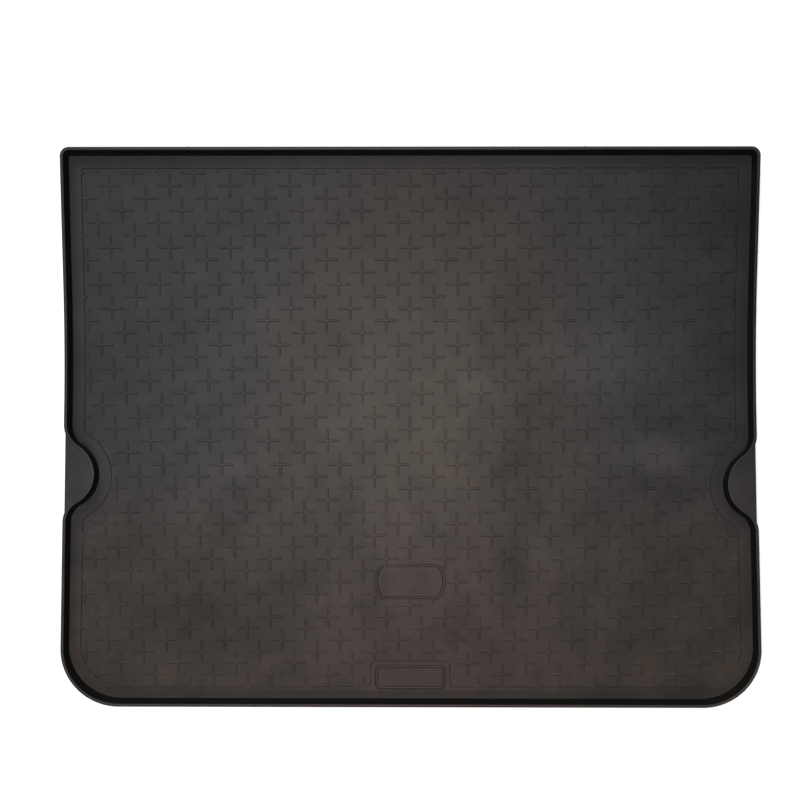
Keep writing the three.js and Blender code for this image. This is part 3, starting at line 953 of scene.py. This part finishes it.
def floor_material(look):
    """Plain pale floor, which the camera sees at full white where no shadow lies."""
    material = bpy.data.materials.new("studio_floor")
    graph = Graph(material)
    seen = graph.add("ShaderNodeLightPath", output="Is Camera Ray")
    shader = graph.add("ShaderNodeBsdfPrincipled", None,
                       {"Base Color": (*look.floor, 1), "Roughness": FLOOR_ROUGHNESS})
    glow = graph.add("ShaderNodeEmission", None, {"Color": (1, 1, 1, 1), "Strength": FLOOR_GLOW})
    both = graph.add("ShaderNodeAddShader", None, (shader, glow))
    mixed = graph.add("ShaderNodeMixShader", None, {0: seen, 1: shader, 2: both})
    graph.add("ShaderNodeOutputMaterial", None, {"Surface": mixed})
    return material


def studio_world(look):
    """Pale even surroundings, white to the camera."""
    world = bpy.data.worlds.new("studio_world")
    graph = Graph(world)
    seen = graph.add("ShaderNodeLightPath", output="Is Camera Ray")
    dim = graph.add("ShaderNodeBackground", None, {"Color": (1, 1, 1, 1), "Strength": look.fill})
    white = graph.add("ShaderNodeBackground", None, {"Color": (1, 1, 1, 1), "Strength": 1.0})
    mixed = graph.add("ShaderNodeMixShader", None, {0: seen, 1: dim, 2: white})
    graph.add("ShaderNodeOutputWorld", None, {"Surface": mixed})
    return world


# Steps of the build, each one an operator, and the sidebar that lists them


def shared_rubber():
    """The liner's one material, made on first use."""
    known = bpy.data.materials.get(RUBBER)
    return known or rubber_material(bpy.context.scene.rubber_look)


class LINER_OT_tray(bpy.types.Operator):
    """Build the tray with its wall, rim, sunk panel and plates"""
    bl_idname = "liner.tray"
    bl_label = "Tray"

    def execute(self, context):
        tray_skin(context.scene.liner_shape).build("liner_tray", shared_rubber())
        return {"FINISHED"}


class LINER_OT_flaps(bpy.types.Operator):
    """Build the flaps that fill the notches at rim height"""
    bl_idname = "liner.flaps"
    bl_label = "Flaps"

    def execute(self, context):
        shape = context.scene.liner_shape
        high = TOP_Z - FLAP_DROP
        low = high - FLAP_THICKNESS
        profile = np.concatenate([arc_profile(-FLAP_ROUND, low + FLAP_ROUND, FLAP_ROUND, -90, 0, 4),
                                  arc_profile(-FLAP_ROUND, high - FLAP_ROUND, FLAP_ROUND, 0, 90, 4)])
        profile = np.column_stack([profile, np.full(len(profile), FLAP_DUST)])
        skin = Skin()
        for side in (LEFT, RIGHT):
            bottom, top = skin.band(flap_outline(shape, side), profile)
            skin.fill([bottom], up=False)
            skin.fill([top])
        skin.build("rim_flaps", shared_rubber())
        return {"FINISHED"}


class LINER_OT_nibs(bpy.types.Operator):
    """Build the nibs of mould flash on the rim's outer edge"""
    bl_idname = "liner.nibs"
    bl_label = "Nibs"

    def execute(self, context):
        shape = context.scene.liner_shape
        skin = Skin()
        outlines = [nib_outline(shape, LEFT, place) for place in LEFT_NIBS]
        outlines += [nib_outline(shape, RIGHT, place) for place in RIGHT_NIBS]
        outlines += [front_nib_outline(x) for x in FRONT_NIBS]
        for outline in outlines:
            # The nibs take the walls' painted shade
            bottom, top = (skin.ring(outline, z, WALL_SHADE) for z in NIB_Z)
            skin.join([bottom, top])
            skin.fill([bottom], up=False)
            skin.fill([top])
        skin.build("rim_nibs", shared_rubber())
        return {"FINISHED"}


class LINER_OT_crosses(bpy.types.Operator):
    """Build the raised crosses of the panel"""
    bl_idname = "liner.crosses"
    bl_label = "Crosses"

    def execute(self, context):
        shape, crosses = context.scene.liner_shape, context.scene.cross_shape
        centres, lengths, loose = arm_lengths(shape, crosses)
        skin = Skin()
        add_ribs(skin, cross_outlines(crosses, centres, lengths), shape)
        add_ribs(skin, bar_outlines(crosses, loose), shape)
        skin.build("cross_ribs", shared_rubber())
        return {"FINISHED"}


class LINER_OT_studio(bpy.types.Operator):
    """Set the floor, the lights and the camera"""
    bl_idname = "liner.studio"
    bl_label = "Studio"

    def execute(self, context):
        look = context.scene.studio_look
        add_floor(look)
        add_softbox("key_softbox", KEY_PLACE, KEY_SIZE, look.key_power)
        add_softbox("side_softbox", SIDE_PLACE, SIDE_SIZE, look.side_power)
        add_camera()
        context.scene.world = studio_world(look)
        context.scene.view_settings.view_transform = "Standard"
        return {"FINISHED"}


def add_floor(look):
    """A wide level square just under the liner."""
    mesh = bpy.data.meshes.new("studio_floor")
    z = LOW.z - FLOOR_GAP
    corners = [(-1, -1), (1, -1), (1, 1), (-1, 1)]
    mesh.from_pydata([(x * FLOOR_HALF, y * FLOOR_HALF, z) for x, y in corners], [], [(0, 1, 2, 3)])
    mesh.materials.append(floor_material(look))
    floor = bpy.data.objects.new("studio_floor", mesh)
    bpy.context.scene.collection.objects.link(floor)


def facing(back):
    """Turn that sets an object's back along a way and keeps its X axis level across the car."""
    right = Vector((0, 1, 0)).cross(back).normalized()
    return Matrix((right, back.cross(right), back)).transposed().to_euler()


def add_softbox(name, place, size, power):
    """A square softbox that is aimed at the origin."""
    light = bpy.data.lights.new(name, "AREA")
    light.shape = "SQUARE"
    light.size = size
    light.energy = power
    lamp = bpy.data.objects.new(name, light)
    lamp.location = place
    lamp.rotation_euler = facing(place.normalized())
    bpy.context.scene.collection.objects.link(lamp)


def add_camera():
    """The camera looks down on the liner from the seat side's half."""
    data = bpy.data.cameras.new("camera")
    data.lens = CAMERA_LENS
    camera = bpy.data.objects.new("camera", data)
    camera.location = CAMERA_PLACE
    camera.rotation_euler = facing((CAMERA_PLACE - CAMERA_TARGET).normalized())
    bpy.context.scene.collection.objects.link(camera)
    bpy.context.scene.camera = camera


class LINER_PT_sidebar(bpy.types.Panel):
    """Lists the liner's steps and values in the sidebar"""
    bl_label = "Boot liner"
    bl_idname = "LINER_PT_sidebar"
    bl_space_type = "VIEW_3D"
    bl_region_type = "UI"
    bl_category = "Boot liner"

    def draw(self, context):
        scene = context.scene
        for group in (scene.liner_shape, scene.cross_shape, scene.rubber_look, scene.studio_look):
            box = self.layout.box()
            for key in group.__annotations__:
                box.prop(group, key)
        for operator in OPERATORS:
            self.layout.operator(operator.bl_idname)


OPERATORS = (LINER_OT_tray, LINER_OT_flaps, LINER_OT_nibs, LINER_OT_crosses, LINER_OT_studio)
CLASSES = (LinerShape, CrossShape, RubberLook, StudioLook, *OPERATORS, LINER_PT_sidebar)
GROUPS = {"liner_shape": LinerShape, "cross_shape": CrossShape,
          "rubber_look": RubberLook, "studio_look": StudioLook}


def register():
    for item in CLASSES:
        bpy.utils.register_class(item)
    for name, group in GROUPS.items():
        setattr(bpy.types.Scene, name, PointerProperty(type=group))


def unregister():
    for name in GROUPS:
        delattr(bpy.types.Scene, name)
    for item in reversed(CLASSES):
        bpy.utils.unregister_class(item)


def main():
    register()
    bpy.ops.liner.tray()
    bpy.ops.liner.flaps()
    bpy.ops.liner.nibs()
    bpy.ops.liner.crosses()
    bpy.ops.liner.studio()


if __name__ == "__main__":
    main()
